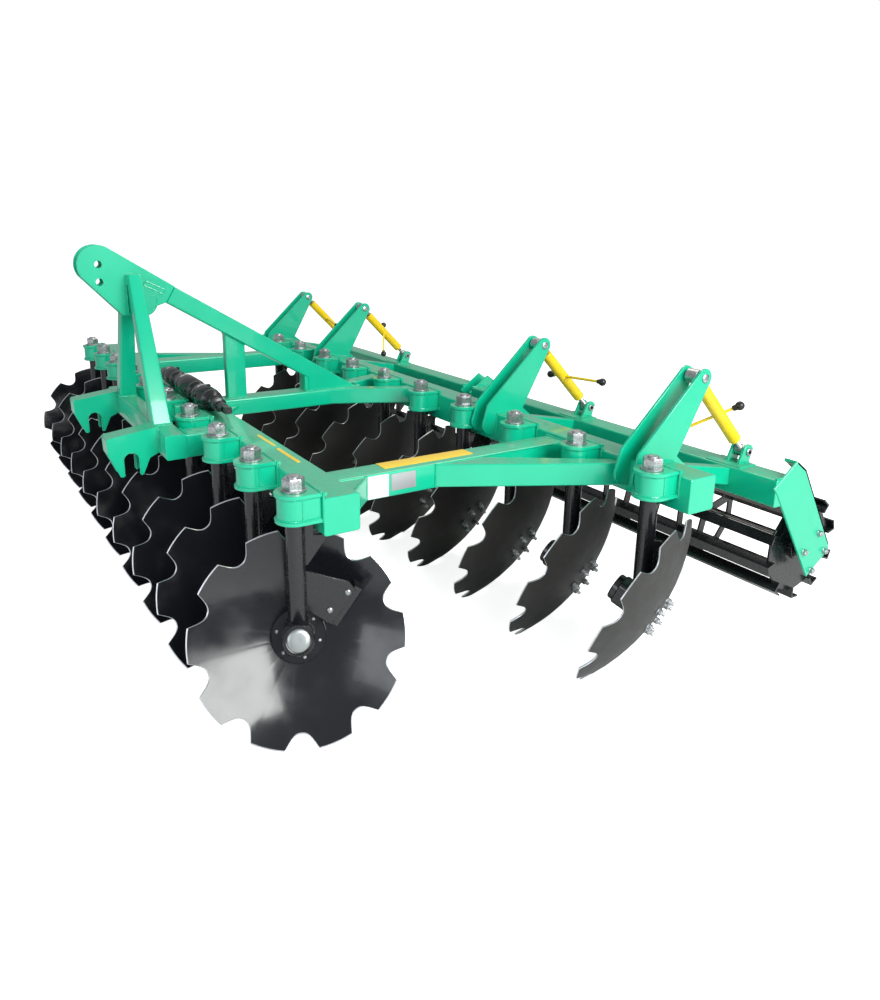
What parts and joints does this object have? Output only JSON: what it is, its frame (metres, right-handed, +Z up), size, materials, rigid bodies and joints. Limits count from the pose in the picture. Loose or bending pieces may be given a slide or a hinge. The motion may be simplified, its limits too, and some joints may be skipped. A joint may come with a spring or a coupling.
{
  "type": "disc harrow",
  "caption": "Mounted disc harrow with two rows of notched discs on single posts, a three-point headstock and two adjustable cage rollers behind.",
  "frame": {"origin": "on the floor, under the middle of the whole outline", "axes": "+Z up, +X towards the machine's left, -Y forwards in travel"},
  "size_m": [3.2896, 2.046, 1.2051],
  "materials": {
    "green_paint": "glossy green paint",
    "black_paint": "black paint",
    "disc_paint": "glossy black paint",
    "yellow_paint": "yellow paint",
    "zinc": "zinc plated"
  },
  "bodies": {
    "frame": {"front_beam": "green_paint", "rear_beam": "green_paint", "side_beam_left": "green_paint", "side_beam_right": "green_paint", "centre_beam": "green_paint", "headstock": "green_paint", "mast": "green_paint", "hitch_shaft": "black_paint", "post_front_01": "black_paint", "post_front_02": "black_paint", "post_front_03": "black_paint", "post_front_04": "black_paint", "post_front_05": "black_paint", "post_front_06": "black_paint", "post_front_07": "black_paint", "post_front_08": "black_paint", "post_front_09": "black_paint", "post_front_10": "black_paint", "post_rear_01": "black_paint", "post_rear_02": "black_paint", "post_rear_03": "black_paint", "post_rear_04": "black_paint", "post_rear_05": "black_paint", "post_rear_06": "black_paint", "post_rear_07": "black_paint", "post_rear_08": "black_paint", "post_rear_09": "black_paint", "post_rear_10": "black_paint"},
    "disc_front_01": {"disc_front_01": "disc_paint"},
    "disc_front_02": {"disc_front_02": "disc_paint"},
    "disc_front_03": {"disc_front_03": "disc_paint"},
    "disc_front_04": {"disc_front_04": "disc_paint"},
    "disc_front_05": {"disc_front_05": "disc_paint"},
    "disc_front_06": {"disc_front_06": "disc_paint"},
    "disc_front_07": {"disc_front_07": "disc_paint"},
    "disc_front_08": {"disc_front_08": "disc_paint"},
    "disc_front_09": {"disc_front_09": "disc_paint"},
    "disc_front_10": {"disc_front_10": "disc_paint"},
    "disc_rear_01": {"disc_rear_01": "disc_paint"},
    "disc_rear_02": {"disc_rear_02": "disc_paint"},
    "disc_rear_03": {"disc_rear_03": "disc_paint"},
    "disc_rear_04": {"disc_rear_04": "disc_paint"},
    "disc_rear_05": {"disc_rear_05": "disc_paint"},
    "disc_rear_06": {"disc_rear_06": "disc_paint"},
    "disc_rear_07": {"disc_rear_07": "disc_paint"},
    "disc_rear_08": {"disc_rear_08": "disc_paint"},
    "disc_rear_09": {"disc_rear_09": "disc_paint"},
    "disc_rear_10": {"disc_rear_10": "disc_paint"},
    "roller_frame_left": {"roller_frame_left": "green_paint"},
    "roller_left": {"roller_left": "black_paint"},
    "jack_barrel_left_outer": {"jack_barrel_left_outer": "yellow_paint"},
    "jack_rod_left_outer": {"jack_rod_left_outer": "zinc"},
    "jack_barrel_left_inner": {"jack_barrel_left_inner": "yellow_paint"},
    "jack_rod_left_inner": {"jack_rod_left_inner": "zinc"},
    "roller_frame_right": {"roller_frame_right": "green_paint"},
    "roller_right": {"roller_right": "black_paint"},
    "jack_barrel_right_outer": {"jack_barrel_right_outer": "yellow_paint"},
    "jack_rod_right_outer": {"jack_rod_right_outer": "zinc"},
    "jack_barrel_right_inner": {"jack_barrel_right_inner": "yellow_paint"},
    "jack_rod_right_inner": {"jack_rod_right_inner": "zinc"}
  },
  "joints": [
    {"name": "disc_front_01_spin", "type": "hinge", "parent": "frame", "child": "disc_front_01", "pos_m": [1.19, -0.738, 0.2496], "axis": [0.8535, -0.3448, 0.3907], "continuous": true},
    {"name": "disc_front_02_spin", "type": "hinge", "parent": "frame", "child": "disc_front_02", "pos_m": [0.89, -0.738, 0.2496], "axis": [0.8535, -0.3448, 0.3907], "continuous": true},
    {"name": "disc_front_03_spin", "type": "hinge", "parent": "frame", "child": "disc_front_03", "pos_m": [0.59, -0.738, 0.2496], "axis": [0.8535, -0.3448, 0.3907], "continuous": true},
    {"name": "disc_front_04_spin", "type": "hinge", "parent": "frame", "child": "disc_front_04", "pos_m": [0.29, -0.738, 0.2496], "axis": [0.8535, -0.3448, 0.3907], "continuous": true},
    {"name": "disc_front_05_spin", "type": "hinge", "parent": "frame", "child": "disc_front_05", "pos_m": [-0.01, -0.738, 0.2496], "axis": [0.8535, -0.3448, 0.3907], "continuous": true},
    {"name": "disc_front_06_spin", "type": "hinge", "parent": "frame", "child": "disc_front_06", "pos_m": [-0.31, -0.738, 0.2496], "axis": [0.8535, -0.3448, 0.3907], "continuous": true},
    {"name": "disc_front_07_spin", "type": "hinge", "parent": "frame", "child": "disc_front_07", "pos_m": [-0.61, -0.738, 0.2496], "axis": [0.8535, -0.3448, 0.3907], "continuous": true},
    {"name": "disc_front_08_spin", "type": "hinge", "parent": "frame", "child": "disc_front_08", "pos_m": [-0.91, -0.738, 0.2496], "axis": [0.8535, -0.3448, 0.3907], "continuous": true},
    {"name": "disc_front_09_spin", "type": "hinge", "parent": "frame", "child": "disc_front_09", "pos_m": [-1.21, -0.738, 0.2496], "axis": [0.8535, -0.3448, 0.3907], "continuous": true},
    {"name": "disc_front_10_spin", "type": "hinge", "parent": "frame", "child": "disc_front_10", "pos_m": [-1.51, -0.738, 0.2496], "axis": [0.8535, -0.3448, 0.3907], "continuous": true},
    {"name": "disc_rear_01_spin", "type": "hinge", "parent": "frame", "child": "disc_rear_01", "pos_m": [1.51, 0.17, 0.2496], "axis": [-0.8535, -0.3448, 0.3907], "continuous": true},
    {"name": "disc_rear_02_spin", "type": "hinge", "parent": "frame", "child": "disc_rear_02", "pos_m": [1.21, 0.17, 0.2496], "axis": [-0.8535, -0.3448, 0.3907], "continuous": true},
    {"name": "disc_rear_03_spin", "type": "hinge", "parent": "frame", "child": "disc_rear_03", "pos_m": [0.91, 0.17, 0.2496], "axis": [-0.8535, -0.3448, 0.3907], "continuous": true},
    {"name": "disc_rear_04_spin", "type": "hinge", "parent": "frame", "child": "disc_rear_04", "pos_m": [0.61, 0.17, 0.2496], "axis": [-0.8535, -0.3448, 0.3907], "continuous": true},
    {"name": "disc_rear_05_spin", "type": "hinge", "parent": "frame", "child": "disc_rear_05", "pos_m": [0.31, 0.17, 0.2496], "axis": [-0.8535, -0.3448, 0.3907], "continuous": true},
    {"name": "disc_rear_06_spin", "type": "hinge", "parent": "frame", "child": "disc_rear_06", "pos_m": [0.01, 0.17, 0.2496], "axis": [-0.8535, -0.3448, 0.3907], "continuous": true},
    {"name": "disc_rear_07_spin", "type": "hinge", "parent": "frame", "child": "disc_rear_07", "pos_m": [-0.29, 0.17, 0.2496], "axis": [-0.8535, -0.3448, 0.3907], "continuous": true},
    {"name": "disc_rear_08_spin", "type": "hinge", "parent": "frame", "child": "disc_rear_08", "pos_m": [-0.59, 0.17, 0.2496], "axis": [-0.8535, -0.3448, 0.3907], "continuous": true},
    {"name": "disc_rear_09_spin", "type": "hinge", "parent": "frame", "child": "disc_rear_09", "pos_m": [-0.89, 0.17, 0.2496], "axis": [-0.8535, -0.3448, 0.3907], "continuous": true},
    {"name": "disc_rear_10_spin", "type": "hinge", "parent": "frame", "child": "disc_rear_10", "pos_m": [-1.19, 0.17, 0.2496], "axis": [-0.8535, -0.3448, 0.3907], "continuous": true},
    {"name": "roller_frame_left_tilt", "type": "hinge", "parent": "frame", "child": "roller_frame_left", "pos_m": [0, 0.367, 0.585], "axis": [1, 0, 0], "range_deg": [-12, 6.5]},
    {"name": "roller_left_spin", "type": "hinge", "parent": "roller_frame_left", "child": "roller_left", "pos_m": [0, 0.852, 0.29], "axis": [1, 0, 0], "continuous": true},
    {"name": "jack_barrel_left_outer_swing", "type": "hinge", "parent": "frame", "child": "jack_barrel_left_outer", "pos_m": [1.41, 0.432, 0.866], "axis": [1, 0, 0], "range_deg": [-7.1, 3.9]},
    {"name": "jack_rod_left_outer_slide", "type": "slide", "parent": "jack_barrel_left_outer", "child": "jack_rod_left_outer", "axis": [0, 0.7044, -0.7098], "range_m": [-0.0285, 0.051]},
    {"name": "jack_barrel_left_inner_swing", "type": "hinge", "parent": "frame", "child": "jack_barrel_left_inner", "pos_m": [0.7, 0.432, 0.866], "axis": [1, 0, 0], "range_deg": [-7.1, 3.9]},
    {"name": "jack_rod_left_inner_slide", "type": "slide", "parent": "jack_barrel_left_inner", "child": "jack_rod_left_inner", "axis": [0, 0.7044, -0.7098], "range_m": [-0.0285, 0.051]},
    {"name": "roller_frame_right_tilt", "type": "hinge", "parent": "frame", "child": "roller_frame_right", "pos_m": [0, 0.367, 0.585], "axis": [1, 0, 0], "range_deg": [-12, 6.5]},
    {"name": "roller_right_spin", "type": "hinge", "parent": "roller_frame_right", "child": "roller_right", "pos_m": [0, 0.852, 0.29], "axis": [1, 0, 0], "continuous": true},
    {"name": "jack_barrel_right_outer_swing", "type": "hinge", "parent": "frame", "child": "jack_barrel_right_outer", "pos_m": [-1.41, 0.432, 0.866], "axis": [1, 0, 0], "range_deg": [-7.1, 3.9]},
    {"name": "jack_rod_right_outer_slide", "type": "slide", "parent": "jack_barrel_right_outer", "child": "jack_rod_right_outer", "axis": [0, 0.7044, -0.7098], "range_m": [-0.0285, 0.051]},
    {"name": "jack_barrel_right_inner_swing", "type": "hinge", "parent": "frame", "child": "jack_barrel_right_inner", "pos_m": [-0.7, 0.432, 0.866], "axis": [1, 0, 0], "range_deg": [-7.1, 3.9]},
    {"name": "jack_rod_right_inner_slide", "type": "slide", "parent": "jack_barrel_right_inner", "child": "jack_rod_right_inner", "axis": [0, 0.7044, -0.7098], "range_m": [-0.0285, 0.051]}
  ],
  "couplings": [
    {"joint": "jack_barrel_left_outer_swing", "follows": "roller_frame_left_tilt", "ratio": 0.5777},
    {"joint": "jack_rod_left_outer_slide", "follows": "roller_frame_left_tilt", "m_per_rad": -0.2382},
    {"joint": "jack_barrel_left_inner_swing", "follows": "roller_frame_left_tilt", "ratio": 0.5777},
    {"joint": "jack_rod_left_inner_slide", "follows": "roller_frame_left_tilt", "m_per_rad": -0.2382},
    {"joint": "jack_barrel_right_outer_swing", "follows": "roller_frame_right_tilt", "ratio": 0.5777},
    {"joint": "jack_rod_right_outer_slide", "follows": "roller_frame_right_tilt", "m_per_rad": -0.2382},
    {"joint": "jack_barrel_right_inner_swing", "follows": "roller_frame_right_tilt", "ratio": 0.5777},
    {"joint": "jack_rod_right_inner_slide", "follows": "roller_frame_right_tilt", "m_per_rad": -0.2382}
  ]
}
